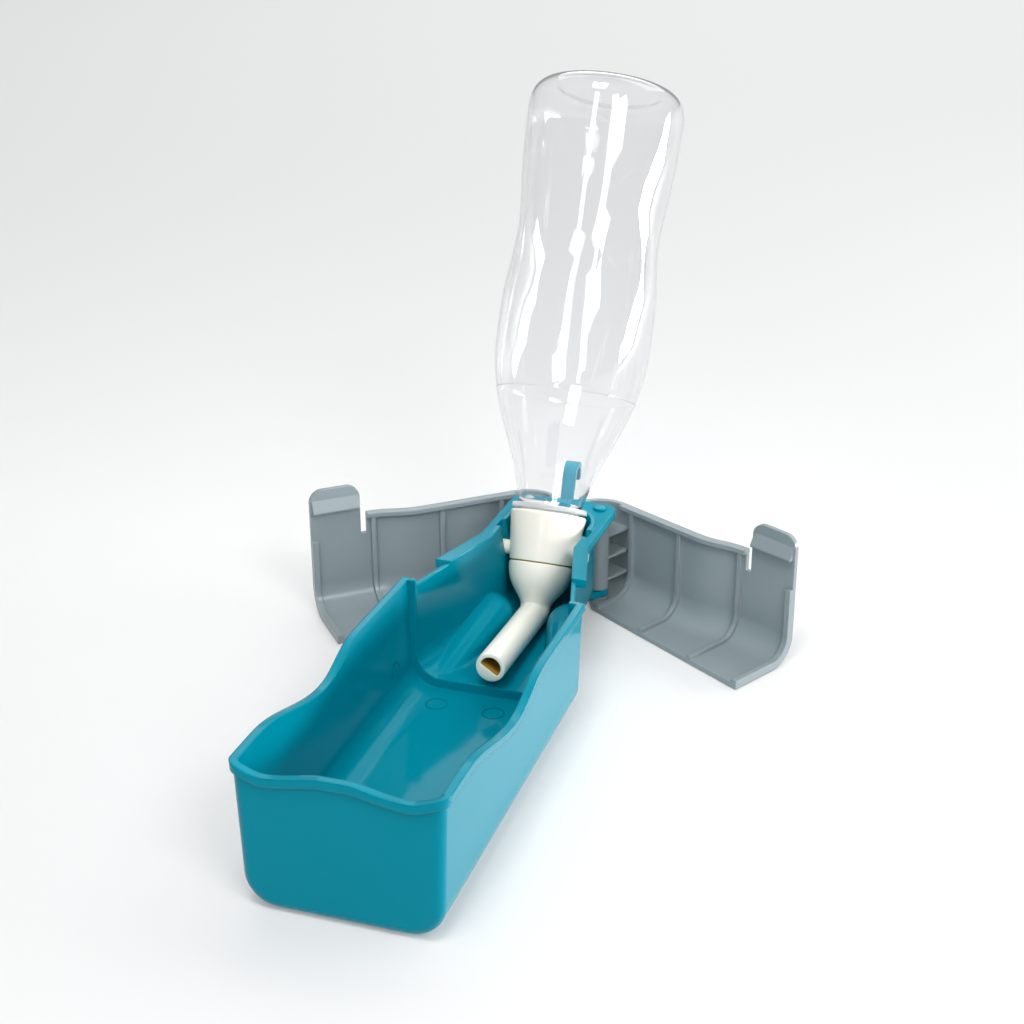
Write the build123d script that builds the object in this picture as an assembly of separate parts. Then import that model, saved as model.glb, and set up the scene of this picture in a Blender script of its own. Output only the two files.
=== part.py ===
from build123d import *
import math
import os

# Dog travel water bottle: a drinking trough with an upended bottle on its rear collar
# and two side shells that swing out as feet.  Millimetres, +Z up, +Y to the rear.
# The pieces are drawn from the front wall (y = 0) and moved so that the origin is the
# middle of the bowl's flat base, on the surface that the trough stands on.

# ---- drinking bowl, the wide front part of the trough ----
bowl_length = 161.0
bowl_half_width = 38.6
bowl_draft = 1.8            # how much nearer the middle the side walls are at the floor
bowl_corner_radius = 13.0
bowl_front_radius = 4.0
wall = 2.0
front_rim = 57.4            # rim height at the front corners
wave_dip_rim = 54.2         # low points of the wavy front rim
wave_dip_x = 27.0
front_middle_rim = 57.8
side_dip_rim = 45.8         # low point of the side rims, where a hand takes hold
side_dip_y = 77.0
side_fall_start = 20.0
side_rise_end = 106.0
side_rim = 52.5
step_rim = 51.3
bead_height = 3.4
bead_reach = 1.2            # how far the rim's lip stands out from the wall

# ---- narrow rear part ----
throat_front_half = 33.2    # inside half width just behind the step
throat_neck_half = 18.7     # inside half width at the neck
throat_neck_y = 215.0       # where the taper ends
neck_centre_y = 240.0
neck_low_half = 15.7        # inside half width where the spout's head sits
neck_low_z = 28.0           # and above this the neck widens to its full width
throat_floor = 6.6
throat_rim = 48.6
throat_corner_radius = 11.0
throat_lead = 6.0           # how far the throat's room runs into the bowl
cradle_front = (26.0, 166.0, 1.0)
cradle_rear = (18.4, 212.0, 11.5)
cradle_front_radius = 7.0
cradle_rear_radius = 10.4

# ---- shell hinges ----
hinge_x = 17.5
hinge_setback = 21.5        # hinge axes behind the neck's centre
hinge_y = neck_centre_y + hinge_setback
pin_radius = 2.0
pin_fit_clearance = 0.02
pin_running_clearance = 0.06
pin_head_radius = 3.0
pin_head_height = 1.2
pin_head_chamfer = 0.4
pin_head_gap = 0.1          # under the head, above the collar
lug_radius = 4.6
lug_thickness = 3.0
lug_root_x = 9.0
lug_root_setback = 12.0     # behind the neck's centre
hinge_gap = 0.3

# ---- collar: the thick flange round the neck ----
collar_front_y = 184.0
collar_hinge_margin = 7.0
collar_rear_y = hinge_y + collar_hinge_margin
collar_front_top = 49.8
collar_rear_top = 47.0
collar_thickness = 3.6
collar_front_half = 33.5
collar_half = 24.5
collar_kink_y = 218.0

# ---- side shells, drawn closed and then swung out ----
shell_wall = 2.0
shell_half_width = 38.6
shell_end_gap = 2.5         # from the bowl's rear face to the shell's end
shell_rear_radius = 16.5    # round the hinge axis
shell_bend_start_y = 190.0
shell_bend_length = 26.0
shell_corner_radius = 13.0
shell_top = 45.4
shell_inner_front = 2.0     # floor edge to the centre line at the end
shell_inner_rear = 9.5      # and beside the hinge
shell_inner_end_setback = 3.5   # where that edge ends, before the hinge axis
shell_rear_wrap = 70.0      # degrees that the rear wall goes round the hinge
shell_overrun = 8.0         # how far the room inside runs past the open sides
shell_lip = 2.0
shell_lip_height = 2.2
shell_rib_height = 1.8
shell_rib_width = 2.2
shell_rib_places = (191.6, 223.5, hinge_y - 8.5)
fan_rib_places = (12.0, 23.0, 34.0)
fan_rib_thickness = 1.3
tab_width = 23.5
tab_top = 60.0
tab_corner_radius = 6.0
tab_slot_width = 3.0
tab_slot_bottom = 35.5
tab_slot_depth = 4.0
barb_height = 7.0
barb_reach = 2.6
barb_edge = 0.8             # thickness of the wedge's sharp edge
barb_root = 0.5             # how far the wedge is set into the tongue
barb_clearance = 0.5
end_notch_z = 42.0
end_rib_width = 2.8
fan_start = 4.5             # the fan ribs begin this far before the hinge axis
right_open_angle = 60.7
left_open_angle = 49.1

# ---- bottle, measured from its neck ring along its own axis ----
ring_centre_y = neck_centre_y + 0.3
ring_centre_z = 54.0
bottle_lean = 27.7
ring_radius = 17.0
ring_thickness = 2.2
bottle_wall = 0.8
finish_radius = 13.4
finish_wall = 2.2
finish_length = 20.2
neck_radius = 14.4
bottle_length = 192.0
bottle_shoulder = ((15.9, 7.0), (18.8, 17.5), (25.4, 34.0), (31.6, 51.0), (34.6, 72.0))
bottle_grip = ((34.4, 96.0), (31.9, 123.0), (34.3, 152.0))
bottle_base_radius = 35.4
base_edge_radius = 10.0
base_ring_radius = 22.0
base_push_up = 5.0

# ---- screw cap and spout, on the same axis ----
cap_top_gap = 0.9
cap_top_radius = 17.1
cap_foot_radius = 14.6
cap_foot = -24.3
cap_bore_clearance = 0.3
cap_web = 2.2
cap_edge_radius = 1.0
gasket_thickness = 1.6
gasket_bore = 8.0
seam_gap = 0.6
seal_width = 2.4
seal_setback = 0.8
spigot_radius = 6.0
spigot_clearance = 0.06
spout_bore = 4.0
tube_radius = 7.0
tube_edge_radius = 0.8
dome_bulge = ((0.5, 3.2), (3.6, 7.6), (6.6, 11.2))   # how far in, and how far below the seam
elbow_radius = 8.5
tube_axis_z = 16.7
tube_tip_y = 157.4
tip_bore_radius = 4.7
tip_flat = 1.6              # flat side of the D-shaped mouth, below the tube's axis
tip_bore_length = 38.0

# ---- pegs of the cap, which hang in open-topped slots of the neck's walls ----
peg_radius = 3.3
peg_drop = 19.2             # peg axis below the bottle's neck ring
peg_root = 14.3
peg_clearance = 0.3
peg_wall_reach = 0.3        # peg end short of the wall's outer face
slot_run_out = 0.4

# ---- hanging hook on the rear of the collar ----
hook_width = 6.5
hook_thickness = 2.6
hook_rise = 14.0
hook_lean = 4.0
hook_bend_radius = 4.2
hook_tip_drop = 4.5

# ---- helping sizes for the shapes that cut ----
TALL = 90.0                 # above everything that the cutting shapes have to reach
SPARE = 1.0                 # how far a cutting shape runs past what it cuts
RIM_STEPS = 24              # points along each curve of the rim


def smooth(t):
    t = min(max(t, 0.0), 1.0)
    return t * t * (3.0 - 2.0 * t)


def side_rim_height(y):
    if y < side_dip_y:
        fall = smooth((y - side_fall_start) / (side_dip_y - side_fall_start))
        return front_rim + (side_dip_rim - front_rim) * fall
    rise = smooth((y - side_dip_y) / (side_rise_end - side_dip_y))
    level = side_dip_rim + (side_rim - side_dip_rim) * rise
    settle = smooth((y - side_rise_end) / (bowl_length - side_rise_end))
    return level + (step_rim - side_rim) * settle


def front_rim_height(x):
    reach = abs(x)
    if reach < wave_dip_x:
        return front_middle_rim + (wave_dip_rim - front_middle_rim) * smooth(reach / wave_dip_x)
    climb = smooth((reach - wave_dip_x) / (bowl_half_width - wave_dip_x))
    return wave_dip_rim + (front_rim - wave_dip_rim) * climb


def u_prism(inset, front, rear, floor):
    """Bowl body: a drafted U section run from front to rear, its front edges rounded."""
    radius = bowl_corner_radius - inset
    slope = bowl_draft / front_rim
    half_top = bowl_half_width - inset + slope * (TALL - front_rim)
    half_floor = bowl_half_width - inset - bowl_draft
    outline = Polyline((-half_top, TALL), (-half_floor, floor), (half_floor, floor), (half_top, TALL), close=True)
    section = make_face(outline)
    section = fillet(section.vertices().sort_by(Axis.Y)[:2], radius)
    body = extrude(Plane.XZ.offset(-front) * section, amount=-(rear - front))
    face = body.faces().sort_by(Axis.Y)[0]
    top_edge = face.edges().sort_by(Axis.Z)[-1]
    round_edges = [edge for edge in face.edges() if edge.center().Z < top_edge.center().Z - SPARE]
    return fillet(round_edges, bowl_front_radius - inset)


def below_rim():
    """Everything under the rim: the sides follow the length, the front wall its own wave."""
    reach = bowl_half_width + bead_reach + SPARE
    lead = -bead_reach - SPARE
    side_points = [(bowl_length * i / RIM_STEPS, side_rim_height(bowl_length * i / RIM_STEPS))
                   for i in range(RIM_STEPS + 1)]
    top = Spline(*side_points)
    frame = Polyline(side_points[-1], (bowl_length, -SPARE), (lead, -SPARE), (lead, front_rim), side_points[0])
    sides = extrude(Plane.YZ * make_face(Curve() + [top, frame]), amount=reach, both=True)
    places = [-reach + 2.0 * reach * i / RIM_STEPS for i in range(RIM_STEPS + 1)]
    wave_points = [(x, front_rim_height(x)) for x in places]
    wave = Spline(*wave_points)
    under = Polyline(wave_points[-1], (reach, -SPARE), (-reach, -SPARE), wave_points[0])
    wave_face = Plane.XZ.offset(-lead) * make_face(Curve() + [wave, under])
    front = extrude(wave_face, amount=lead - bowl_front_radius)
    behind = Box(2 * reach, bowl_length, TALL, align=(Align.CENTER, Align.MIN, Align.MIN))
    behind = Pos(0, bowl_front_radius, -SPARE) * behind
    return sides & (front + behind)


def rim_band():
    """Thickened lip along the whole rim, standing out from the walls."""
    lip = u_prism(-bead_reach, -bead_reach, bowl_length, 0.0) - u_prism(wall, wall, bowl_length - wall, wall)
    return (lip & below_rim()) - Pos(0, 0, -bead_height) * below_rim()


def throat_plan(front, neck):
    """Plan of the narrow part: a taper, a parallel neck and a round rear end."""
    taper = (throat_front_half - throat_neck_half) / (throat_neck_y - bowl_length)
    neck_y = bowl_length + (front - neck) / taper
    lead = bowl_length - throat_lead
    side = Polyline((front, lead), (front, bowl_length), (neck, neck_y), (neck, neck_centre_y))
    mirror_side = Polyline((-neck, neck_centre_y), (-neck, neck_y), (-front, bowl_length), (-front, lead))
    rear = ThreePointArc((neck, neck_centre_y), (0, neck_centre_y + neck), (-neck, neck_centre_y))
    close = Line((-front, lead), (front, lead))
    return make_face(Curve() + [side, rear, mirror_side, close])


def throat_prism(front, neck, floor, top, radius):
    body = extrude(Pos(0, 0, floor) * throat_plan(front, neck), amount=top - floor)
    bottom = body.faces().sort_by(Axis.Z)[0]
    edges = [edge for edge in bottom.edges() if edge.center().Y > bowl_length - throat_lead + SPARE]
    return fillet(edges, radius)


def neck_room():
    """Upper room of the neck, widening from the spout's head to the collar."""
    run = neck_centre_y - throat_neck_y
    spread = math.degrees(math.atan((throat_neck_half - neck_low_half) / (throat_rim - neck_low_z)))
    low = Pos(0, neck_centre_y - run / 2) * SlotCenterToCenter(run, 2 * neck_low_half, rotation=90)
    room = extrude(Pos(0, 0, neck_low_z) * low, amount=throat_rim - neck_low_z, taper=-spread)
    top = Pos(0, neck_centre_y - run / 2) * SlotCenterToCenter(run, 2 * throat_neck_half, rotation=90)
    return room + extrude(Pos(0, 0, throat_rim) * top, amount=TALL - throat_rim)


def collar():
    """Thick flange round the neck, falling a little to the rear."""
    turn = collar_rear_y - hinge_y
    half = Polyline((collar_front_half, collar_front_y), (collar_half, collar_kink_y), (hinge_x + turn, hinge_y))
    arc = ThreePointArc((hinge_x + turn, hinge_y),
                        (hinge_x + turn * math.cos(math.pi / 4), hinge_y + turn * math.sin(math.pi / 4)),
                        (hinge_x, collar_rear_y))
    right = Curve() + [half, arc]
    left = mirror(right, Plane.YZ)
    rear = Line((hinge_x, collar_rear_y), (-hinge_x, collar_rear_y))
    front = Line((-collar_front_half, collar_front_y), (collar_front_half, collar_front_y))
    plan = extrude(make_face(Curve() + [half, arc, rear, left, front]), amount=TALL)
    fall = Polyline((collar_front_y, collar_front_top), (collar_rear_y, collar_rear_top),
                    (collar_rear_y, collar_rear_top - collar_thickness),
                    (collar_front_y, collar_front_top - collar_thickness), close=True)
    band = extrude(Plane.YZ * make_face(fall), amount=collar_front_half + SPARE, both=True)
    return plan & band


def collar_top(y):
    along = (y - collar_front_y) / (collar_rear_y - collar_front_y)
    return collar_front_top + (collar_rear_top - collar_front_top) * along


def hinge_lug(side):
    """Lower ear of the trough that holds the foot of a hinge pin."""
    pivot = Cylinder(lug_radius, lug_thickness, align=(Align.CENTER, Align.CENTER, Align.MIN))
    root = Vector(side * lug_root_x, neck_centre_y + lug_root_setback, 0)
    eye = Vector(side * hinge_x, hinge_y, 0)
    run = eye - root
    arm = Box(run.length, 2 * lug_radius, lug_thickness, align=(Align.MIN, Align.CENTER, Align.MIN))
    angle = math.degrees(math.atan2(run.Y, run.X))
    arm = Pos(root.X, root.Y, lug_bottom) * (Rot(0, 0, angle) * arm)
    return arm + Pos(eye.X, eye.Y, lug_bottom) * pivot


lug_bottom = throat_floor - wall
pin_tip = shell_wall / 2


def cradle(side):
    """Conical swelling of the throat floor that takes the bottle's shoulder."""
    start = Vector(side * cradle_front[0], cradle_front[1], cradle_front[2])
    end = Vector(side * cradle_rear[0], cradle_rear[1], cradle_rear[2])
    run = end - start
    cone = Cone(cradle_front_radius, cradle_rear_radius, run.length, align=(Align.CENTER, Align.CENTER, Align.MIN))
    placed = Plane(origin=start, z_dir=run).location * cone
    rear_end = Pos(end.X, end.Y, end.Z) * Sphere(cradle_rear_radius)
    front_end = Pos(start.X, start.Y, start.Z) * Sphere(cradle_front_radius)
    return placed + rear_end + front_end


bottle_frame = Plane(origin=(0, ring_centre_y, ring_centre_z), x_dir=(1, 0, 0),
                     z_dir=(0, math.sin(math.radians(bottle_lean)), math.cos(math.radians(bottle_lean))))
spout_top = cap_foot - seam_gap
peg_centre = bottle_frame.from_local_coords(Vector(0, 0, -peg_drop))


def trough():
    outer = u_prism(0.0, 0.0, bowl_length, 0.0)
    hollow = u_prism(wall, wall, bowl_length - wall, wall)
    bowl = ((outer - hollow) & below_rim()) + rim_band()
    throat_skin = throat_prism(throat_front_half + wall, throat_neck_half + wall, lug_bottom, throat_rim,
                               throat_corner_radius + wall)
    throat_hollow = throat_prism(throat_front_half, neck_low_half, throat_floor, TALL, throat_corner_radius)
    throat_hollow = throat_hollow + neck_room()
    throat = throat_skin & slab(bowl_length - wall, collar_rear_y, 0.0, TALL)
    body = bowl + throat + collar()
    body = body - throat_hollow
    for side in (-1, 1):
        body = body + (cradle(side) & throat_skin)
        body = body + hinge_lug(side)
    slot_depth = throat_neck_half + wall + 2 * slot_run_out - neck_low_half
    slot_radius = peg_radius + peg_clearance
    for side in (-1, 1):
        hole = Cylinder(pin_radius + pin_fit_clearance, TALL, align=(Align.CENTER, Align.CENTER, Align.MIN))
        body = body - Pos(side * hinge_x, hinge_y, 0) * hole
        groove = Box(slot_depth, 2 * slot_radius, TALL, align=(Align.CENTER, Align.CENTER, Align.MIN))
        seat = Rot(0, 90, 0) * Cylinder(slot_radius, slot_depth)
        middle = side * (neck_low_half - slot_run_out + slot_depth / 2)
        body = body - Pos(middle, peg_centre.Y, peg_centre.Z) * (groove + seat)
    return body


def hinge_pin(side):
    top = collar_top(hinge_y) + pin_head_gap
    shaft = Cylinder(pin_radius, top - pin_tip, align=(Align.CENTER, Align.CENTER, Align.MIN))
    head = Cylinder(pin_head_radius, pin_head_height, align=(Align.CENTER, Align.CENTER, Align.MIN))
    head = chamfer(head.edges().sort_by(Axis.Z)[-1], pin_head_chamfer)
    pin = Pos(0, 0, pin_tip) * shaft + Pos(0, 0, top) * head
    return Pos(side * hinge_x, hinge_y, 0) * pin


def shell_plan(inset, open_sides):
    """Plan of the right shell, closed; the cutting copy runs on past its open sides."""
    end = bowl_length + shell_end_gap
    wall_x = shell_half_width - inset
    start_y = end - 2.5 * shell_overrun if open_sides else end
    shift = shell_half_width - (hinge_x + shell_rear_radius)
    half_turn = 2.0 * math.degrees(math.atan(shift / shell_bend_length))
    bend = shell_bend_length / (2.0 * math.sin(math.radians(half_turn)))
    straight = Line((wall_x, start_y), (wall_x, shell_bend_start_y))
    inward = JernArc(straight @ 1, straight % 1, bend - inset, half_turn)
    outward = JernArc(inward @ 1, inward % 1, bend + inset, -half_turn)
    rear_x = hinge_x + shell_rear_radius - inset
    flank = Line(outward @ 1, (rear_x, hinge_y))
    overrun = shell_overrun if open_sides else 0.0
    wrap = shell_rear_wrap + 2.5 * overrun
    rear = JernArc((rear_x, hinge_y), (0, 1), shell_rear_radius - inset, wrap)
    rest = Polyline(rear @ 1, (shell_inner_rear - overrun, hinge_y - shell_inner_end_setback),
                    (shell_inner_front - overrun, start_y), (wall_x, start_y))
    return make_face(Curve() + [straight, inward, outward, flank, rear, rest])


def shell_prism(inset, floor, top, open_sides):
    body = extrude(Pos(0, 0, floor) * shell_plan(inset, open_sides), amount=top - floor)
    bottom = body.faces().sort_by(Axis.Z)[0]
    lead = hinge_x + shell_rear_radius / 2
    edges = [edge for edge in bottom.edges() if edge.center().X > lead and edge.center().Y > bowl_length
             and abs(edge.tangent_at(0.5).Y) > 0.5 or edge.geom_type == GeomType.CIRCLE]
    return fillet(edges, shell_corner_radius - inset)


def slab(y_low, y_high, z_low, z_high):
    """Wide block between two places along the length and two heights."""
    width = 4 * (shell_half_width + collar_front_half)
    block = Box(width, y_high - y_low, z_high - z_low, align=(Align.CENTER, Align.MIN, Align.MIN))
    return Pos(0, y_low, z_low) * block


def snap_tab():
    """Springy tongue at the shell's end, with a thumb pad and a wedge that clicks over the throat rim."""
    end = bowl_length + shell_end_gap
    outline = Rectangle(tab_width, tab_top - tab_slot_bottom, align=(Align.MIN, Align.MIN))
    outline = fillet(outline.vertices().sort_by(Axis.Y)[-2:], tab_corner_radius)
    plane = Plane(origin=(shell_half_width - shell_wall, end, tab_slot_bottom), x_dir=(0, 1, 0), z_dir=(1, 0, 0))
    tongue = extrude(plane * outline, amount=shell_wall)
    foot = throat_rim + barb_clearance
    face = shell_half_width - shell_wall
    wedge = Polyline((face + barb_root, foot), (face - barb_reach, foot), (face - barb_reach, foot + barb_edge),
                     (face + barb_root, foot + barb_height), close=True)
    barb = extrude(Plane.XZ.offset(-(end + barb_edge)) * make_face(wedge), amount=2 * barb_edge - tab_width)
    return tongue + barb


def right_shell_closed():
    end = bowl_length + shell_end_gap
    outer = shell_prism(0.0, 0.0, shell_top, False)
    hollow = shell_prism(shell_wall, shell_wall, TALL, True)
    skin = outer - hollow
    ribbed = outer - shell_prism(shell_wall + shell_rib_height, shell_wall + shell_rib_height, TALL, True)
    body = skin
    for place in shell_rib_places:
        body = body + (ribbed & slab(place, place + shell_rib_width, 0.0, shell_top))
    body = body + (ribbed & slab(end, end + end_rib_width, 0.0, end_notch_z))
    lip_cut = shell_prism(shell_wall + shell_lip, shell_wall, TALL, True)
    slot_end = end + tab_width + tab_slot_width
    body = body + ((outer - lip_cut) & slab(slot_end, hinge_y, shell_top - shell_lip_height, shell_top))
    slot = Box(2 * tab_slot_depth, slot_end - end + SPARE, TALL, align=(Align.CENTER, Align.MIN, Align.MIN))
    body = body - Pos(shell_half_width, end - SPARE, tab_slot_bottom) * slot
    body = body + snap_tab()
    barrel_low = lug_bottom + lug_thickness + hinge_gap
    barrel_high = collar_top(collar_rear_y) - collar_thickness - hinge_gap
    for low, high in ((shell_wall, lug_bottom - hinge_gap), (barrel_low, barrel_high)):
        ring = Cylinder(lug_radius, high - low, align=(Align.CENTER, Align.CENTER, Align.MIN))
        body = body + Pos(hinge_x, hinge_y, low) * ring
    for height in fan_rib_places:
        fan = extrude(Pos(0, 0, height) * shell_plan(shell_wall / 2, False), amount=fan_rib_thickness)
        reach = 2 * shell_rear_radius
        sector = Box(reach, reach, fan_rib_thickness, align=(Align.MIN, Align.MIN, Align.MIN))
        sector = Pos(hinge_x, hinge_y - fan_start, height) * sector
        body = body + (fan & sector & outer)
    bore = Cylinder(pin_radius + pin_running_clearance, TALL, align=(Align.CENTER, Align.CENTER, Align.MIN))
    return body - Pos(hinge_x, hinge_y, pin_tip - hinge_gap) * bore


def swing(shape, angle, side):
    """Turn a shell about its hinge pin by its opening angle."""
    return Pos(side * hinge_x, hinge_y, 0) * Rot(0, 0, side * angle) * Pos(-side * hinge_x, -hinge_y, 0) * shape


def bottle_side(inset):
    """Half outline of the body, from above the neck ring to the middle of the base."""
    bulges = [(r - inset, s) for r, s in bottle_shoulder + bottle_grip]
    top = bottle_length - inset
    turn = base_edge_radius - inset
    flank = Spline((neck_radius - inset, ring_thickness / 2), *bulges, (bottle_base_radius - inset, top - turn),
                   tangents=((0.1, 1), (0, 1)))
    edge = JernArc(flank @ 1, (0, 1), turn, 90)
    flat = Line(edge @ 1, (base_ring_radius, top))
    dome = Spline((base_ring_radius, top), (0, top - base_push_up), tangents=((-1, -0.45), (-1, 0)))
    return [flank, edge, flat, dome]


def bottle():
    mouth = finish_radius - finish_wall
    outside = bottle_side(0.0)
    inside = bottle_side(bottle_wall)
    finish = Polyline(inside[0] @ 0, (mouth, -ring_thickness), (mouth, -finish_length),
                      (finish_radius, -finish_length), (finish_radius, -ring_thickness / 2),
                      (ring_radius, -ring_thickness / 2), (ring_radius, ring_thickness / 2), outside[0] @ 0)
    middle = Line(outside[-1] @ 1, inside[-1] @ 1)
    section = make_face(Curve() + [finish, middle] + outside + inside)
    return bottle_frame.location * revolve(Plane.XZ * section, axis=Axis.Z)


def screw_cap():
    top = -ring_thickness / 2 - cap_top_gap
    bore = finish_radius + cap_bore_clearance
    shelf = cap_foot + cap_web
    hole = spigot_radius + spigot_clearance
    section = Polyline((hole, cap_foot), (cap_foot_radius, cap_foot), (cap_top_radius, top), (bore, top),
                       (bore, shelf), (hole, shelf), close=True)
    cap = revolve(Plane.XZ * make_face(section), axis=Axis.Z)
    rim = cap.edges().filter_by(GeomType.CIRCLE).sort_by(SortBy.RADIUS)[-1]
    cap = bottle_frame.location * fillet(rim, cap_edge_radius)
    reach = throat_neck_half + wall - peg_wall_reach - peg_root
    for side in (-1, 1):
        peg = Rot(0, 90, 0) * Cylinder(peg_radius, reach)
        cap = cap + Pos(side * (peg_root + reach / 2), peg_centre.Y, peg_centre.Z) * peg
    return cap


def cap_gasket():
    low = cap_foot + cap_web
    ring = Circle(finish_radius) - Circle(gasket_bore)
    return bottle_frame.location * Pos(0, 0, low) * extrude(ring, amount=gasket_thickness)


def swivel_seal():
    outer = cap_foot_radius - seal_setback
    ring = Circle(outer) - Circle(outer - seal_width)
    return bottle_frame.location * Pos(0, 0, spout_top) * extrude(ring, amount=seam_gap)


def spout():
    tangent = elbow_radius * math.tan(math.radians((90 - bottle_lean) / 2))
    axis_down = (bottle_frame.origin.Z - tube_axis_z) / math.cos(math.radians(bottle_lean))
    dome_foot = -(axis_down - tangent)
    spigot_top = cap_foot + cap_web
    bulge = [(cap_foot_radius - inward, spout_top - down) for inward, down in dome_bulge]
    dome = Spline((cap_foot_radius, spout_top), *bulge, (tube_radius, dome_foot), tangents=((0, -1), (0, -1)))
    rest = Polyline((tube_radius, dome_foot), (0, dome_foot), (0, spigot_top), (spigot_radius, spigot_top),
                    (spigot_radius, spout_top), (cap_foot_radius, spout_top))
    head = bottle_frame.location * revolve(Plane.XZ * make_face(Curve() + [dome, rest]), axis=Axis.Z)
    start = bottle_frame.from_local_coords(Vector(0, 0, spigot_top))
    bend_start = bottle_frame.from_local_coords(Vector(0, 0, dome_foot))
    corner = bottle_frame.from_local_coords(Vector(0, 0, -axis_down))
    bend_end = Vector(0, corner.Y - tangent, tube_axis_z)
    tip = Vector(0, tube_tip_y, tube_axis_z)
    down = (bend_start - start).normalized()
    bend = TangentArc(bend_start, bend_end, tangent=down)
    run = Line(bend_end, tip)
    tube_path = Curve() + [bend, run]
    tube = sweep(Plane(bend_start, z_dir=down) * Circle(tube_radius), path=tube_path)
    body = head + tube
    body = fillet(body.faces().sort_by(Axis.Y)[0].edges(), tube_edge_radius)
    bore_path = Curve() + [Line(start, bend_start), bend, run]
    bore = sweep(Plane(start, z_dir=down) * Circle(spout_bore), path=bore_path)
    mouth = Circle(tip_bore_radius) & Pos(0, tip_bore_radius - tip_flat) * Rectangle(
        2 * tip_bore_radius, 2 * tip_bore_radius)
    mouth = extrude(Plane.XZ.offset(-tube_tip_y) * Pos(0, tube_axis_z) * mouth, amount=-tip_bore_length)
    return body - bore - mouth


def hanging_hook():
    """Bent strap on the collar's rear edge, hooked over to the rear."""
    foot = Vector(0, collar_rear_y + hook_thickness / 2, collar_rear_top - collar_thickness)
    shoulder = foot + Vector(0, hook_lean, hook_rise)
    rise = Line(foot, shoulder)
    direction = rise % 1
    lean = math.degrees(math.atan2(direction.Y, direction.Z))
    crest = JernArc((shoulder.Y, shoulder.Z), (direction.Y, direction.Z), hook_bend_radius, -(180 - lean))
    crest = Plane.YZ * crest
    tip = Line(crest @ 1, (crest @ 1) + Vector(0, 0, -hook_tip_drop))
    path = Curve() + [rise, crest, tip]
    strap = sweep(Plane(foot, x_dir=(1, 0, 0), z_dir=direction) * Rectangle(hook_width, hook_thickness), path=path)
    return strap


def main():
    os.makedirs("parts", exist_ok=True)
    right = right_shell_closed()
    left = mirror(right, Plane.YZ)
    pieces = {
        "trough": trough(),
        "hanging_hook": hanging_hook(),
        "right_shell": swing(right, right_open_angle, 1),
        "left_shell": swing(left, left_open_angle, -1),
        "right_hinge_pin": hinge_pin(1),
        "left_hinge_pin": hinge_pin(-1),
        "bottle": bottle(),
        "screw_cap": screw_cap(),
        "cap_gasket": cap_gasket(),
        "swivel_seal": swivel_seal(),
        "spout": spout(),
    }
    for name, piece in pieces.items():
        piece = Pos(0, -bowl_length / 2, 0) * piece
        export_step(piece, f"parts/{name}.step")
        box = piece.bounding_box()
        print(name, [round(v, 1) for v in (*box.min, *box.max)])


main()
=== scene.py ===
# %% [markdown]
# # Dog travel water bottle
# This is a bottle for walks with a dog. A long teal trough holds the drinking water. A clear
# bottle stands upside down in the collar at the trough's rear and fills it through a cream
# cap and spout. Two grey shells close around the trough's throat for travel, and here they
# stand open as feet.
#
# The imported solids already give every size. This script adds the finish of each piece, a
# finer bottle and a finer spout, some moulding marks, the light and the camera. Lengths are
# metres, except in outlines, which are in millimetres as on a mould's drawing. The origin
# is the middle of the bowl's flat base, +Y points to the rear and +Z points up.

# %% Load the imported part
import math

import bpy
import numpy as np
from mathutils import Matrix, Vector


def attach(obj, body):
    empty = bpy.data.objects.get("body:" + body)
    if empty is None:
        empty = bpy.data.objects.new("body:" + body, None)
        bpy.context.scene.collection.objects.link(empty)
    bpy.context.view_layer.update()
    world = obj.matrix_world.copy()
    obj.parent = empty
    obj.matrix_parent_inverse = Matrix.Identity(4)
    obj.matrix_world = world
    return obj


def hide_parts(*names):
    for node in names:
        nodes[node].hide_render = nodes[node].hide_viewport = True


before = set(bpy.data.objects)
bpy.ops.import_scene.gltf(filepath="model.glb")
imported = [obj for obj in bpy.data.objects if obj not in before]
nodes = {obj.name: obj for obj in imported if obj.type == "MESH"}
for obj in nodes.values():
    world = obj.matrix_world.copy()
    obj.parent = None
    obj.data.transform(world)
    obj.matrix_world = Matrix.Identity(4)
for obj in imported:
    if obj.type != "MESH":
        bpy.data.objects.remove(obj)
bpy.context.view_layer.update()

# %% [markdown]
# ## Camera
# The render is seen from the same place as the photograph. The camera could be moved by eye until the
# outlines agree, but a fit to the edges in the photograph is surer. It found a view 18 degrees to the
# right of the front and 24 degrees above the trough, with a slight roll. Two angles give the line of
# sight, and the roll turns the other two axes about it.

# %% The camera's three axes
AZIMUTH = math.radians(18.38)
ELEVATION = math.radians(24.08)
ROLL = math.radians(-0.21)
forward = Vector((-math.sin(AZIMUTH) * math.cos(ELEVATION), math.cos(AZIMUTH) * math.cos(ELEVATION),
                  -math.sin(ELEVATION)))
level = Vector((math.cos(AZIMUTH), math.sin(AZIMUTH), 0.0))
upright = level.cross(forward)
right = math.cos(ROLL) * level + math.sin(ROLL) * upright
up = math.cos(ROLL) * upright - math.sin(ROLL) * level
print("line of sight", [round(v, 3) for v in forward])

# %% [markdown]
# A camera in Blender looks down its own -Z axis, with +Y up in the picture. The columns of
# its matrix are therefore the right, the up and the backward axis. The same fit gave its
# place and a lens of about 62 mm on a 36 mm wide film.

# %% Place the camera
CAMERA_PLACE = (0.21279, -0.53377, 0.37665)
LENS = 62.4
FILM_WIDTH = 36.0
NEAREST_SEEN = 0.02
FARTHEST_SEEN = 30.0

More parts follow.
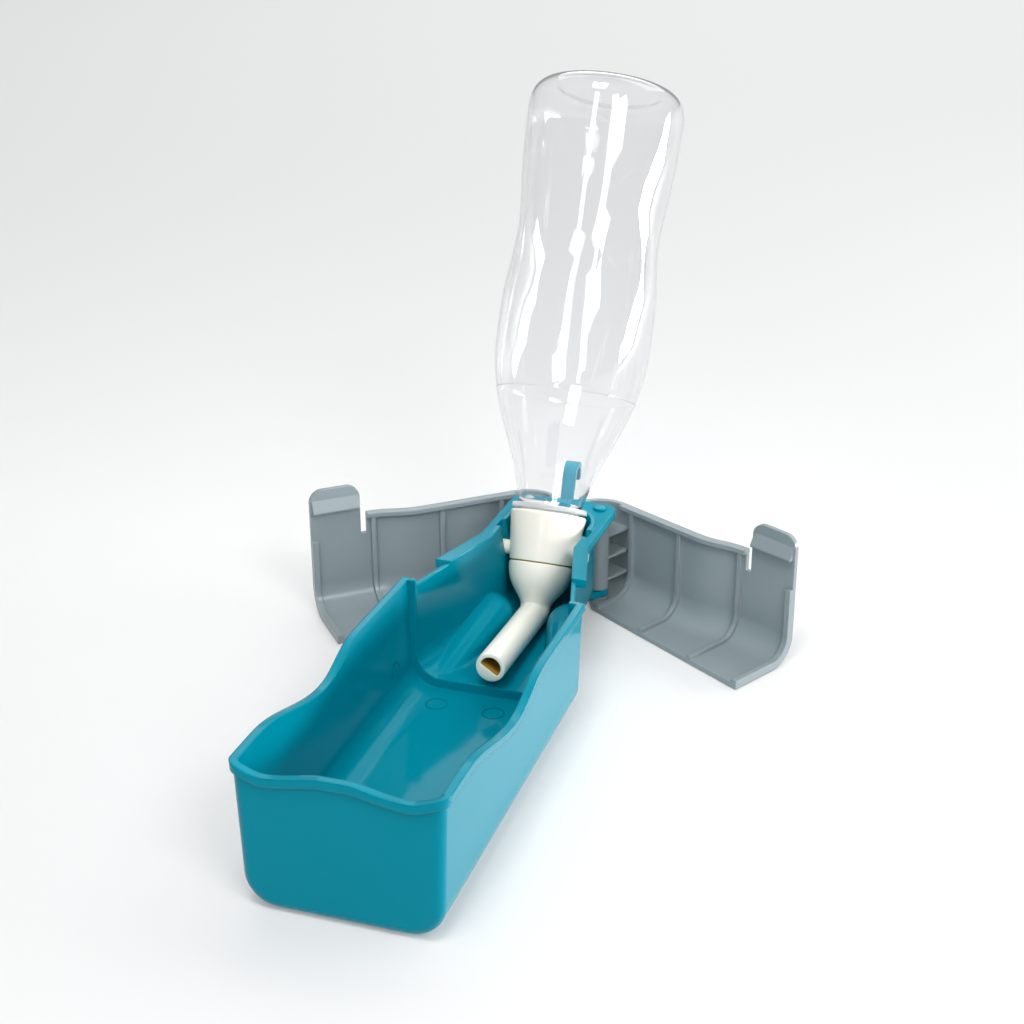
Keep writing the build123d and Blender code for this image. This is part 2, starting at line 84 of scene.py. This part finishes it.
camera_data = bpy.data.cameras.new("camera")
camera_data.lens = LENS
camera_data.sensor_width = FILM_WIDTH
camera_data.clip_start = NEAREST_SEEN
camera_data.clip_end = FARTHEST_SEEN
camera = bpy.data.objects.new("camera", camera_data)
turned = Matrix((right, up, -forward)).transposed().to_4x4()
camera.matrix_world = Matrix.Translation(CAMERA_PLACE) @ turned
bpy.context.scene.collection.objects.link(camera)
bpy.context.scene.camera = camera
print("camera", [round(v, 3) for v in camera.location], "lens", camera_data.lens)

# %% [markdown]
# ## Clear plastic
# The bottle's wall is clear and under a millimetre thick. A material has one principled
# shader, and here its sockets take constant values: an image could carry the colour, but
# plastic is the same all over, and constants need no unwrapping and survive the export.
# Full transmission bends the light at both faces of the wall. That alone would leave a dark
# shadow on the floor, since few rays find their way through it to a light. Rays that only
# test for shadow therefore pass straight through a transparent shader, a touch grey.

# %% Clear wall
GLASS_IOR = 1.5


def one_finish(name, values):
    """A material whose principled shader has the same values all over the piece."""
    material = bpy.data.materials.new(name)
    material.use_nodes = True
    shader = material.node_tree.nodes["Principled BSDF"]
    for socket, value in values.items():
        shader.inputs[socket].default_value = value
    return material


clear = one_finish("clear_bottle", {
    "Base Color": (0.965, 0.97, 0.975, 1.0), "Roughness": 0.03, "IOR": GLASS_IOR,
    "Transmission Weight": 1.0})
tree = clear.node_tree
pass_through = tree.nodes.new("ShaderNodeBsdfTransparent")
pass_through.inputs["Color"].default_value = (0.93, 0.94, 0.95, 1.0)
path = tree.nodes.new("ShaderNodeLightPath")
mix = tree.nodes.new("ShaderNodeMixShader")
tree.links.new(path.outputs["Is Shadow Ray"], mix.inputs["Fac"])
tree.links.new(tree.nodes["Principled BSDF"].outputs["BSDF"], mix.inputs[1])
tree.links.new(pass_through.outputs["BSDF"], mix.inputs[2])
tree.links.new(mix.outputs["Shader"], tree.nodes["Material Output"].inputs["Surface"])
print(clear.name, "has", len(tree.nodes), "nodes")

# %% [markdown]
# ## Moulded plastics
# What makes a piece look moulded is its edges, which are never quite sharp, and its wide
# faces, which are never quite flat. Real fillets on every edge would mean many more faces.
# A bevel node rounds the edges in the light alone, and a fine noise used as bump adds the
# ripple. Both follow the piece when it moves.

# %% Rounded edges and a faint ripple
EDGE_SAMPLES = 6
RIPPLE_SCALE = 90.0
RIPPLE_DETAIL = 2.0
RIPPLE_DEPTH = 0.0006


def soften(material, edge, ripple):
    """Round the edges in the light to the radius edge, and ripple the faces."""
    tree = material.node_tree
    rounded = tree.nodes.new("ShaderNodeBevel")
    rounded.samples = EDGE_SAMPLES
    rounded.inputs["Radius"].default_value = edge
    place = tree.nodes.new("ShaderNodeTexCoord")
    noise = tree.nodes.new("ShaderNodeTexNoise")
    noise.inputs["Scale"].default_value = RIPPLE_SCALE
    noise.inputs["Detail"].default_value = RIPPLE_DETAIL
    bump = tree.nodes.new("ShaderNodeBump")
    bump.inputs["Strength"].default_value = ripple
    bump.inputs["Distance"].default_value = RIPPLE_DEPTH
    tree.links.new(place.outputs["Object"], noise.inputs["Vector"])
    tree.links.new(noise.outputs["Fac"], bump.inputs["Height"])
    tree.links.new(rounded.outputs["Normal"], bump.inputs["Normal"])
    tree.links.new(bump.outputs["Normal"], tree.nodes["Principled BSDF"].inputs["Normal"])


print("ripple", RIPPLE_DEPTH, "m deep at most")

# %% [markdown]
# The trough, its hanging hook and the right hinge pin are a deep teal with a wet gloss. A
# pale sky washes such a colour out, because every gloss adds white to it. So the base colour
# is darker than what the photograph shows, and the gloss is low and has the teal's own tint.

# %% Teal for the trough
PLASTIC_IOR = 1.49
GLOW_DEPTH = 0.002


def plastic(name, colour, roughness, edge, ripple=0.02, gloss=0.5, gloss_tint=(1.0, 1.0, 1.0),
            glow=0.0, clearness=0.0):
    """A plastic of one colour; glow is the share of light that wanders below its face."""
    material = one_finish(name, {
        "Base Color": (*colour, 1.0), "Roughness": roughness, "IOR": PLASTIC_IOR,
        "Specular IOR Level": gloss, "Specular Tint": (*gloss_tint, 1.0),
        "Subsurface Weight": glow, "Subsurface Scale": GLOW_DEPTH,
        "Transmission Weight": clearness})
    soften(material, edge, ripple)
    return material


teal = plastic("teal_plastic", (0.0, 0.205, 0.285), 0.09, edge=0.0013, gloss=0.25,
               gloss_tint=(0.12, 0.85, 1.0))
print(teal.name, "has", len(teal.node_tree.nodes), "nodes")

# %% [markdown]
# The side shells are a cool mid grey with a softer shine than the trough, so they are
# rougher. Their edges are thin, and a smaller edge radius keeps the ribs crisp. The left
# hinge pin is a paler grey, and its round is finer still.

# %% Greys for the shells and the left pin
grey = plastic("grey_plastic", (0.23, 0.275, 0.29), 0.26, edge=0.0008, gloss=0.4)
pin_grey = plastic("pin_plastic", (0.42, 0.47, 0.49), 0.3, edge=0.0003)
print("greys:", grey.name, pin_grey.name)

# %% [markdown]
# The cap and the spout are a warm cream. A thin white plastic lets some light in, and that softens its
# shadows. A little subsurface scattering does this; more would make it waxy. Two small seals are hardly
# seen: a white rubber washer under the bottle's mouth and an amber ring between cap and spout. The same
# amber is also painted inside the spout's bore as painted shade, for the warm dark deep in the mouth.

# %% Cream, rubber, amber and the bore's painted shade
cream = plastic("cream_plastic", (0.86, 0.83, 0.74), 0.2, edge=0.0005, glow=0.1)
rubber = plastic("white_rubber", (0.75, 0.75, 0.7), 0.6, edge=0.0002)
# amber for the swivel seal, and also the painted shade inside the spout's bore
seal_amber_and_bore_shade = plastic("amber_seal_and_bore_shade", (0.42, 0.25, 0.03), 0.4, edge=0.0001)
print("cap and seals:", cream.name, rubber.name, seal_amber_and_bore_shade.name)

# %% [markdown]
# The neck has a much thicker wall, and it looks pale and milky in the photograph. With the body's finish
# it turns into a dark ring, because it bends the view into the shaded throat. A finish that is about
# half clear and half white gives the pale ring back; its white half is painted light, standing for the
# brightness that the thick clear wall passes and mirrors.

# %% Thick neck
# half clear, half white: the white is painted light on the clear neck
neck_painted_pale = plastic("clear_neck_painted_pale", (0.93, 0.95, 0.95), 0.08, edge=0.0001, ripple=0.0, clearness=0.55)
print(neck_painted_pale.name)

# %% [markdown]
# ## A finish for every solid
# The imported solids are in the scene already, one mesh for each node. Each takes one
# material, and none is moved or reshaped.

# %% Hand out the finishes
FINISH = {
    "trough": teal, "hanging_hook": teal, "right_shell": grey, "left_shell": grey,
    "right_hinge_pin": teal, "left_hinge_pin": pin_grey, "bottle": clear,
    "screw_cap": cream, "cap_gasket": rubber, "swivel_seal": seal_amber_and_bore_shade, "spout": cream,
}
for name, material in FINISH.items():
    nodes[name].data.materials.clear()
    nodes[name].data.materials.append(material)
print("finished", len(FINISH), "solids")

# %% [markdown]
# ## Bottle
# The bottle leans back in the collar and stands on its cap. All that is round about its
# axis is drawn once, as (radius, distance from the neck ring) in millimetres. One matrix
# then leans it and takes it to the neck ring's place. The cap and the spout share the axis.

# %% The leaning axis
LEAN = math.radians(27.7)
NECK_RING_CENTRE = (0.0, 0.1598, 0.054)
AXIS = Matrix.Translation(NECK_RING_CENTRE) @ Matrix.Rotation(-LEAN, 4, "X")
print("bottle axis points along", [round(v, 3) for v in AXIS.col[2][:3]])

# %% [markdown]
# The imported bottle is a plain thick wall. The shown one has a groove where its shoulder
# ends, a narrow waist for the hand, and a pushed-up base that leaves a standing ring. Its
# side is one soft line. A spline object could draw it, but a short function keeps the
# points at hand for the inner wall. A Catmull-Rom curve goes through every given point, so
# each number below can be read as a real radius.

# %% The outer wall
OUTLINE_STEP = 1.1
SHOULDER = [(14.4, 1.3), (14.6, 3.2), (15.7, 6.8), (17.3, 12.5), (18.8, 17.5), (22.1, 26.0),
            (25.4, 34.0), (28.7, 42.5), (31.2, 50.2)]
GROOVE = [(31.43, 51.0), (31.45, 51.7), (31.62, 52.4)]
WAIST = [(31.8, 53.2), (33.4, 60.0), (34.5, 70.0), (34.7, 80.0), (34.6, 90.0), (34.2, 98.0),
         (33.4, 106.0), (32.5, 114.0), (31.95, 122.0), (32.1, 130.0), (32.9, 139.0), (33.9, 149.0),
         (34.7, 160.0), (35.15, 172.0), (35.3, 179.0)]
BASE = [(34.95, 183.6), (33.7, 187.1), (31.3, 189.8), (28.1, 191.2), (25.0, 191.6), (23.2, 191.0),
        (20.5, 189.5), (15.0, 187.9), (8.0, 187.1), (0.0, 186.9)]


def smooth_path(points, step):
    """Points along a soft curve through the given ones, about one step apart."""
    p = np.array(points, float)
    p = np.vstack([2 * p[0] - p[1], p, 2 * p[-1] - p[-2]])
    made = []
    for a, b, c, d in zip(p, p[1:], p[2:], p[3:]):
        count = max(2, int(np.linalg.norm(c - b) / step))
        for t in np.arange(count) / count:
            made.append(0.5 * (2 * b + (c - a) * t + (2 * a - 5 * b + 4 * c - d) * t ** 2
                               + (3 * b - a - 3 * c + d) * t ** 3))
    return made + [p[-2]]


outer_wall = smooth_path(SHOULDER + GROOVE + WAIST + BASE, OUTLINE_STEP)
print("outer wall", len(outer_wall), "points, widest", round(2 * max(p[0] for p in outer_wall), 1), "mm")

# %% [markdown]
# The wall of a blown bottle has the same thickness nearly everywhere. A solidify modifier
# could make it, but the neck needs its own thickness, so the inner line is worked out here:
# each point of the outer line moves inwards, square to the line.

# %% The inner wall
WALL = 0.8
AXIS_MARGIN = 0.4
inner_wall = []
for before, here, after in zip(outer_wall, outer_wall[1:], outer_wall[2:]):
    along = (after - before) / np.linalg.norm(after - before)
    inner_wall.append(here - WALL * np.array([along[1], -along[0]]))
inner_wall = [p for p in inner_wall if p[0] > AXIS_MARGIN]
print("inner wall", len(inner_wall), "points,", WALL, "mm inside")

# %% [markdown]
# The neck is a plain tube down to the mouth, with a thick ring by which the bottle hangs in
# the filling machine. The whole outline runs down the bore, back up the outside of the
# neck, over the ring, along the wall to the base, and back inside to where it began.

# %% The closed outline
NECK = [(14.0, 1.3), (11.2, -1.5), (11.2, -20.0), (11.5, -20.2), (13.1, -20.2), (13.4, -19.9),
        (13.4, -1.1)]
NECK_RING = [(16.5, -1.1), (16.9, -0.8), (17.0, 0.0), (16.9, 0.8), (16.5, 1.1), (14.8, 1.1)]
base_height = outer_wall[-1][1]
bottle_outline = NECK + NECK_RING + [tuple(p) for p in outer_wall[:-1]]
bottle_outline += [(0.0, base_height), (0.0, base_height - WALL)]
bottle_outline += [tuple(p) for p in inner_wall[::-1]]
print("bottle outline", len(bottle_outline), "points")

# %% [markdown]
# Every mesh that is made here becomes an object in the same way. Smooth shading hides the
# flats of a turned piece, but alone it would also blur its real edges. So an edge stays
# sharp where its two faces meet at more than the angle below.

# %% From mesh to object
SHARP_ANGLE = 40.0


def new_object(name, verts, faces, material, sharp=SHARP_ANGLE):
    mesh = bpy.data.meshes.new(name)
    mesh.from_pydata([tuple(v) for v in verts], [], faces)
    mesh.materials.append(material)
    mesh.shade_smooth()
    mesh.set_sharp_from_angle(angle=math.radians(sharp))
    made = bpy.data.objects.new(name, mesh)
    bpy.context.scene.collection.objects.link(made)
    return made


print("edges stay sharp above", SHARP_ANGLE, "degrees")

# %% [markdown]
# A screw modifier could turn the outline into a bottle. Plain rings of points do the same
# with the mesh in full control: a point on the axis is one vertex that its whole ring
# shares, so the base closes to a fan and no face is degenerate.

# %% Turn the bottle
MM = 0.001
ON_AXIS = 1e-6
BOTTLE_SIDES = 112


def lathe(name, outline, material, place, around):
    """Turn a closed (radius, height) outline in millimetres about the local Z axis."""
    verts, rings, faces = [], [], []
    for radius, height in outline:
        if radius < ON_AXIS:
            rings.append([len(verts)] * around)
            verts.append((0.0, 0.0, height))
            continue
        rings.append(list(range(len(verts), len(verts) + around)))
        verts += [(radius * math.cos(2 * math.pi * k / around),
                   radius * math.sin(2 * math.pi * k / around), height) for k in range(around)]
    for lower, upper in zip(rings, rings[1:] + rings[:1]):
        for k in range(around):
            n = (k + 1) % around
            corners = list(dict.fromkeys((lower[k], lower[n], upper[n], upper[k])))
            if len(corners) > 2:
                faces.append(corners)
    verts = [place @ (Vector(v) * MM) for v in verts]
    return new_object(name, verts, faces, material)


bottle = lathe("clear_bottle_wall", bottle_outline, clear, AXIS, BOTTLE_SIDES)
print("bottle", len(bottle.data.polygons), "faces")

# %% [markdown]
# The faces of the neck and its ring take the half-white finish, whose white is painted light, and all
# others stay clear. Seen from the bottle's own axis they are simply the lowest ones. The turned bottle
# then takes the imported bottle's place and rides its body, so it lifts out and unscrews with it.

# %% The neck's finish and the bottle's place
NECK_END = 1.25 * MM
bottle.data.materials.append(neck_painted_pale)
# the neck's faces take the half-white finish; its white is painted light
for face in bottle.data.polygons:
    face.material_index = int((AXIS.inverted() @ face.center).z < NECK_END)
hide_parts("bottle")
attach(bottle, "bottle")
print("neck faces", sum(face.material_index for face in bottle.data.polygons))

# %% [markdown]
# ## Spout
# The spout hangs under the cap. A round head draws in like a funnel, turns in a sharp elbow
# and becomes a straight tube that ends low in the throat. Its path is the bottle's axis
# down to the elbow and a straight line from there to the mouth. A quadratic curve with its
# middle handle at the corner joins the two, as in a bent pipe with a tight radius.

# %% The spout's path
MM_PER_METRE = 1000.0
TURN_START = -43.2
CORNER = -46.6
TIP = Vector((0.0, 76.95, 16.8))
BEND_STEPS = 10


def axis_point(along):
    """A point of the bottle's axis in millimetres, measured from the neck ring."""
    return AXIS @ Vector((0.0, 0.0, along * MM)) * MM_PER_METRE


down = (axis_point(-1.0) - axis_point(0.0)).normalized()
turn_from = axis_point(TURN_START)
corner = axis_point(CORNER)
along_tube = (TIP - corner).normalized()
turn_to = corner + along_tube * (corner - turn_from).length
bend = []
for t in np.linspace(0.0, 1.0, BEND_STEPS + 1):
    point = turn_from.lerp(corner, t).lerp(corner.lerp(turn_to, t), t)
    bend.append((point, down.lerp(along_tube, t).normalized()))
print("spout turns at", [round(v, 1) for v in corner], "and ends at", [round(v, 1) for v in TIP])

# %% [markdown]
# A curve object with a round profile could follow that path, but it can't draw in like the
# head, and it can't have another shape inside. The spout is a stack of rings instead. The
# hole at its mouth is a D, flat at the lower left: where a straight line square to that
# side is nearer than the circle, the ring follows the line.

# %% One ring
TUBE_RADIUS = 6.5
BORE_RADIUS = 4.5
MOUTH_FLAT = 1.3
FLAT_TURN = math.radians(327.0)
SPOUT_SIDES = 64


def ring(centre, direction, radius, flat=None):
    """One ring square to the direction; a flat at that distance cuts it to a D."""
    side = Vector((1.0, 0.0, 0.0))
    over = side.cross(direction).normalized()
    points = []
    for k in range(SPOUT_SIDES):
        turn = 2 * math.pi * k / SPOUT_SIDES
        reach = radius
        facing = math.cos(turn - FLAT_TURN)
        if flat is not None and facing * radius > flat:
            reach = flat / facing
        points.append(centre + reach * (math.sin(turn) * side + math.cos(turn) * over))
    return points


print("mouth", 2 * BORE_RADIUS, "mm wide, flat", MOUTH_FLAT, "mm from its middle")

# %% [markdown]
# The rings run down the funnel head, around the elbow and along the tube. At the lip they
# turn in over a small round. Each ring of the head is again (radius, distance from the neck
# ring), and the distances are negative because the head lies beyond the bottle's mouth.

# %% Rings down the outside and over the lip
HEAD_TOP = -22.3
ELBOW_RADIUS = 6.8
HEAD = [(6.0, HEAD_TOP), (6.0, -24.85), (14.0, -24.9), (14.5, -25.3), (14.5, -26.6), (14.3, -28.6),
        (13.8, -31.0), (12.9, -33.6), (11.6, -36.0), (9.9, -38.4), (8.4, -40.4), (7.35, -42.0)]
TUBE_STOPS = (0.3, 0.7, 0.985)
LIP_ROUND = ((0.25, 0.2), (0.0, 0.7))
MOUTH_EDGE = 0.15

outside = [ring(axis_point(along), down, radius) for radius, along in HEAD]
outside += [ring(point, direction, ELBOW_RADIUS + (TUBE_RADIUS - ELBOW_RADIUS) * k / BEND_STEPS)
            for k, (point, direction) in enumerate(bend)]
outside += [ring(turn_to.lerp(TIP, t), along_tube, TUBE_RADIUS) for t in TUBE_STOPS]
lip = [ring(TIP - along_tube * back, along_tube, TUBE_RADIUS - inward) for back, inward in LIP_ROUND]
lip += [ring(TIP, along_tube, BORE_RADIUS + MOUTH_EDGE, MOUTH_FLAT + MOUTH_EDGE)]
print("outside", len(outside), "rings, lip", len(lip), "rings")

# %% [markdown]
# From the mouth the same rings come back up inside. The D goes halfway up the tube and
# then gives way to a narrower round bore, which ends at the head's top.

# %% Rings back up the bore
INNER_BORE = 4.0
MOUTH_DEPTH = 0.2
D_STOPS = (0.8, 0.5)
D_END = 0.45

bore = [ring(TIP - along_tube * MOUTH_DEPTH, along_tube, BORE_RADIUS, MOUTH_FLAT)]
bore += [ring(turn_to.lerp(TIP, t), along_tube, BORE_RADIUS, MOUTH_FLAT) for t in D_STOPS]
bore += [ring(turn_to.lerp(TIP, D_END), along_tube, INNER_BORE)]
bore += [ring(point, direction, INNER_BORE) for point, direction in bend[::-1]]
bore += [ring(axis_point(HEAD_TOP), down, INNER_BORE)]
print("bore", len(bore), "rings")

# %% [markdown]
# Each ring joins the next with a belt of four-sided faces, and the last joins the first, so the spout is
# one closed skin. The belts of the bore take the amber as painted shade, for the warm dark that the
# photograph shows inside the mouth. The skin takes the imported spout's place and rides its body, so it
# turns in the cap and lifts out with it.

# %% Join the rings
SPOUT_SHARP_ANGLE = 35.0
rings = outside + lip + bore
faces = []
for lower in range(len(rings)):
    a, b = lower * SPOUT_SIDES, (lower + 1) % len(rings) * SPOUT_SIDES
    for k in range(SPOUT_SIDES):
        n = (k + 1) % SPOUT_SIDES
        faces.append((a + k, a + n, b + n, b + k))
spout = new_object("funnel_spout", [p * MM for loop in rings for p in loop], faces, cream,
                   sharp=SPOUT_SHARP_ANGLE)
spout.data.materials.append(seal_amber_and_bore_shade)
first_in_bore = (len(outside) + len(lip)) * SPOUT_SIDES
# the bore's faces get the amber: painted shade inside the mouth
for face in spout.data.polygons:
    face.material_index = int(first_in_bore <= face.index < len(faces) - SPOUT_SIDES)
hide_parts("spout")
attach(spout, "spout")
print("spout", len(rings), "rings,", len(faces), "faces")

# %% [markdown]
# ## Moulding marks
# When a moulded trough leaves its mould, round pins push it out, and each leaves a faint
# ring. There are two on the bowl's floor and one on each side wall. A bump could draw them,
# but a low turned ring is true geometry and goes with the exported mesh. The lathe of the
# bottle makes them.

# %% Marks on the floor
MARK_FOOT = 0.25
MARK_CREST = 0.15
MARK_HEIGHT = 0.12
MARK_SIDES = 64
BOWL_FLOOR = 0.002
FLOOR_MARK_RADIUS = 4.4
FLOOR_MARKS = [(5.0, 66.0), (-20.0, 66.0)]


def ejector_mark(name, place, radius):
    outline = [(radius - MARK_FOOT, 0.0), (radius - MARK_CREST, MARK_HEIGHT),
               (radius + MARK_CREST, MARK_HEIGHT), (radius + MARK_FOOT, 0.0)]
    mark = lathe(name, outline, teal, place, MARK_SIDES)
    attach(mark, "stand")


for number, (x, y) in enumerate(FLOOR_MARKS, 1):
    place = Matrix.Translation((x * MM, y * MM, BOWL_FLOOR))
    ejector_mark(f"floor_mark_{number}", place, FLOOR_MARK_RADIUS)
print("floor marks", len(FLOOR_MARKS))

# %% [markdown]
# The wall marks are the same ring, turned to face across the bowl. A quarter turn about Y,
# one way for each wall, does it.

# %% Marks on the walls
WALL_X = 0.0354
WALL_MARK_Y = 0.06
WALL_MARK_Z = 0.018
WALL_MARK_RADIUS = 4.0
WALLS = {"left": -1, "right": 1}
for side_name, side in WALLS.items():
    place = Matrix.Translation((side * WALL_X, WALL_MARK_Y, WALL_MARK_Z))
    face_in = Matrix.Rotation(-side * math.pi / 2, 4, "Y")
    ejector_mark(side_name + "_wall_mark", place @ face_in, WALL_MARK_RADIUS)
print("wall marks", len(WALLS))

# %% [markdown]
# ## Floor and sky
# The photograph has a pale ground that fades into a pale background, with hardly a horizon.
# A curved backdrop could give that, but it would show in the clear bottle. A very large
# matt floor under an even sky does it too. The floor has a little light of its own, which
# keeps the shadows around the feet soft and pale. The Standard view keeps colours as set.

# %% Floor
FLOOR_PAINT = (0.58, 0.58, 0.58, 1.0)
FLOOR_LIGHT = 0.17
FLOOR_REACH = 6.0
FLOOR_DROP = 0.0004

bpy.context.scene.view_settings.view_transform = "Standard"
paint = one_finish("floor_paint", {
    "Base Color": FLOOR_PAINT, "Roughness": 0.6, "IOR": PLASTIC_IOR, "Specular IOR Level": 0.0,
    "Emission Color": (1.0, 1.0, 1.0, 1.0), "Emission Strength": FLOOR_LIGHT})
corners = [(x * FLOOR_REACH, y * FLOOR_REACH, 0.0) for x, y in ((-1, -1), (1, -1), (1, 1), (-1, 1))]
floor = new_object("floor", corners, [(0, 1, 2, 3)], paint)
floor.location.z = -FLOOR_DROP
print("floor", 2 * FLOOR_REACH, "m across")

# %% [markdown]
# An image of a room would give richer reflections, but it would also put shapes into the
# clear bottle that the photograph doesn't have. The sky is one pale, slightly cool colour,
# and weak enough to let the softboxes below draw the form.

# %% Sky
SKY_COLOUR = (0.97, 0.985, 1.0, 1.0)
SKY_STRENGTH = 0.38

world = bpy.context.scene.world or bpy.data.worlds.new("world")
bpy.context.scene.world = world
world.use_nodes = True
sky = world.node_tree.nodes["Background"]
sky.inputs["Color"].default_value = SKY_COLOUR
sky.inputs["Strength"].default_value = SKY_STRENGTH
print("sky strength", SKY_STRENGTH)

# %% [markdown]
# ## Lights
# Clear plastic is seen by what it mirrors. Two tall softboxes near the camera draw the two
# bright streaks on the bottle and reach into the neck. A low box at the right rear brightens
# the outer right wall and leaves the bowl in its shade, and one overhead lights the floor of
# the trough. Each box faces its target from a given direction, so it can be moved by
# changing one vector. The boxes are hidden from the camera, but not from reflections.

# %% Softboxes around the trough
BOTTLE_MIDDLE = (0.0, 0.22, 0.15)
BOWL_MIDDLE = (0.0, 0.02, 0.03)
BOX_DISTANCE = 1.3


def soft_light(name, toward, target, size, watts, distance=BOX_DISTANCE):
    """A rectangular softbox that faces the target from the given direction."""
    data = bpy.data.lights.new(name, "AREA")
    data.shape = "RECTANGLE"
    data.size, data.size_y = size
    data.energy = watts
    lamp = bpy.data.objects.new(name, data)
    direction = Vector(toward).normalized()
    lamp.location = Vector(target) + direction * distance
    lamp.rotation_euler = direction.to_track_quat("Z", "Y").to_euler()
    lamp.visible_camera = False
    bpy.context.scene.collection.objects.link(lamp)
    return lamp


soft_light("low_right", (0.9, 0.42, 0.09), BOWL_MIDDLE, size=(0.8, 0.18), watts=18.0)
soft_light("streak_right", (0.556, -0.831, 0.5), BOTTLE_MIDDLE, size=(0.22, 0.9), watts=3.0)
soft_light("streak_left", (-0.028, -1.0, 0.57), BOTTLE_MIDDLE, size=(0.14, 0.9), watts=2.6)
soft_light("overhead", (0.0, -0.3, 1.0), BOWL_MIDDLE, size=(0.4, 0.4), watts=7.5)
print("softboxes", len(bpy.data.lights))

# %% [markdown]
# Two more lights have small tasks. A wide one high over the far floor turns the background
# nearly white, and it adds little to the trough. A weak one from the front right reaches
# into the throat, where the walls keep most light away. A narrow spread holds its light
# together.

# %% Wash and fill
FAR_FLOOR = (0.0, 2.5, 0.0)
THROAT_MIDDLE = (-0.02, 0.13, 0.03)
FILL_SPREAD = math.radians(40.0)

soft_light("floor_wash", (0.0, 0.0, 1.0), FAR_FLOOR, size=(3.8, 3.6), watts=58.0, distance=1.8)
throat_fill = soft_light("throat_fill", (0.6, -0.5, 0.7), THROAT_MIDDLE, size=(0.25, 0.25),
                         watts=0.15, distance=1.0)
throat_fill.data.spread = FILL_SPREAD
print("lights in all", len(bpy.data.lights))
